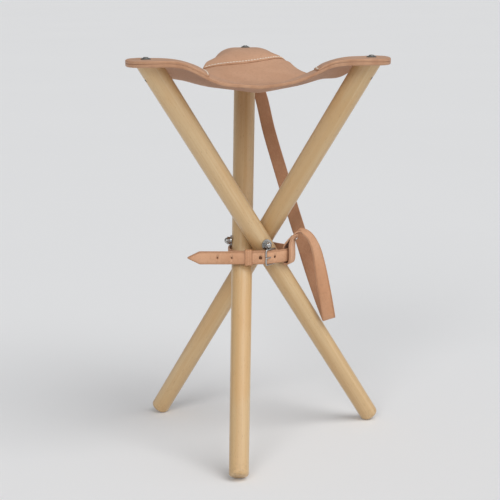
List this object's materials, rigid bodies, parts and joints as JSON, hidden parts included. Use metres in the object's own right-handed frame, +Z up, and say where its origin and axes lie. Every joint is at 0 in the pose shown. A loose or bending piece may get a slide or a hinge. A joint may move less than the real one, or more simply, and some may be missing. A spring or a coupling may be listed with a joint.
{
  "type": "folding tripod stool",
  "caption": "Folding three-legged stool with tapered round wooden legs crossing at a bolt, a slung leather seat, a buckled belt and a carrying strap.",
  "frame": {"origin": "on the floor, on the tripod's vertical axis, midway between the three feet", "axes": "+Z up; +Y towards the seat corner that carries the strap; +X to the right seen from the front"},
  "size_m": [0.369, 0.4111, 0.5815],
  "materials": {
    "wood": "clear-finished pale hardwood",
    "leather": "natural vegetable-tanned leather, smooth grain side",
    "steel": "bright plated steel",
    "thread": "waxed off-white thread"
  },
  "bodies": {
    "tripod": {"tripod_bolt": "steel", "bolt_washers": "steel", "cap_nuts": "steel", "belt": "leather", "belt_keeper": "leather", "buckle_frame": "steel", "buckle_prong": "steel", "carry_strap": "leather", "strap_rivet": "steel"},
    "leg_left": {"leg_left": "wood", "seat_corner_left": "leather", "corner_patch_left": "leather", "patch_stitches_left": "thread", "seat_washer_left": "steel", "seat_screw_left": "steel"},
    "leg_right": {"leg_right": "wood", "seat_corner_right": "leather", "corner_patch_right": "leather", "patch_stitches_right": "thread", "seat_washer_right": "steel", "seat_screw_right": "steel"},
    "leg_back": {"leg_back": "wood", "seat_corner_back": "leather", "corner_patch_back": "leather", "patch_stitches_back": "thread", "seat_washer_back": "steel", "seat_screw_back": "steel"},
    "seat_panel_left_cw": {"seat_panel_left_cw": "leather"},
    "seat_panel_left_ccw": {"seat_panel_left_ccw": "leather"},
    "seat_panel_right_cw": {"seat_panel_right_cw": "leather"},
    "seat_panel_right_ccw": {"seat_panel_right_ccw": "leather"},
    "seat_panel_back_cw": {"seat_panel_back_cw": "leather"},
    "seat_panel_back_ccw": {"seat_panel_back_ccw": "leather"}
  },
  "joints": [
    {"name": "fold_left", "type": "hinge", "parent": "tripod", "child": "leg_left", "pos_m": [0.00955, -0.01654, 0.303], "axis": [-0.5, 0.866, 0], "range_deg": [0, 18]},
    {"name": "fold_right", "type": "hinge", "parent": "tripod", "child": "leg_right", "pos_m": [0.00955, 0.01654, 0.303], "axis": [-0.5, -0.866, 0], "range_deg": [0, 18]},
    {"name": "fold_back", "type": "hinge", "parent": "tripod", "child": "leg_back", "pos_m": [-0.0191, 0, 0.303], "axis": [1, 0, 0], "range_deg": [0, 18], "deforming": ["carry_strap"]},
    {"name": "bend_left_cw", "type": "hinge", "parent": "leg_left", "child": "seat_panel_left_cw", "pos_m": [-0.10113, -0.07347, 0.5669], "axis": [-0.8496, 0.3244, 0.4158], "range_deg": [0, 49.04], "deforming": ["seat_panel_left_cw"]},
    {"name": "bend_left_ccw", "type": "hinge", "parent": "leg_left", "child": "seat_panel_left_ccw", "pos_m": [-0.10113, -0.07347, 0.5669], "axis": [-0.4967, 0.8679, -0.0027], "range_deg": [0, 39.27], "deforming": ["seat_panel_left_ccw"]},
    {"name": "bend_right_cw", "type": "hinge", "parent": "leg_right", "child": "seat_panel_right_cw", "pos_m": [0.11419, -0.05084, 0.5669], "axis": [0.1439, -0.898, 0.4158], "range_deg": [0, 49.04], "deforming": ["seat_panel_right_cw"]},
    {"name": "bend_right_ccw", "type": "hinge", "parent": "leg_right", "child": "seat_panel_right_ccw", "pos_m": [0.11419, -0.05084, 0.5669], "axis": [-0.5033, -0.8641, -0.0027], "range_deg": [0, 39.27], "deforming": ["seat_panel_right_ccw"]},
    {"name": "bend_back_cw", "type": "hinge", "parent": "leg_back", "child": "seat_panel_back_cw", "pos_m": [-0.01307, 0.12431, 0.5669], "axis": [0.7058, 0.5736, 0.4158], "range_deg": [0, 49.04], "deforming": ["seat_panel_back_cw"]},
    {"name": "bend_back_ccw", "type": "hinge", "parent": "leg_back", "child": "seat_panel_back_ccw", "pos_m": [-0.01307, 0.12431, 0.5669], "axis": [1, -0.0038, -0.0027], "range_deg": [0, 39.27], "deforming": ["seat_panel_back_ccw"]}
  ],
  "couplings": [
    {"joint": "fold_right", "follows": "fold_left", "ratio": 1},
    {"joint": "fold_back", "follows": "fold_left", "ratio": 1},
    {"joint": "bend_left_cw", "follows": "fold_left", "ratio": 2.7233},
    {"joint": "bend_left_ccw", "follows": "fold_left", "ratio": 2.1804},
    {"joint": "bend_right_cw", "follows": "fold_left", "ratio": 2.7233},
    {"joint": "bend_right_ccw", "follows": "fold_left", "ratio": 2.1804},
    {"joint": "bend_back_cw", "follows": "fold_left", "ratio": 2.7233},
    {"joint": "bend_back_ccw", "follows": "fold_left", "ratio": 2.1804}
  ]
}
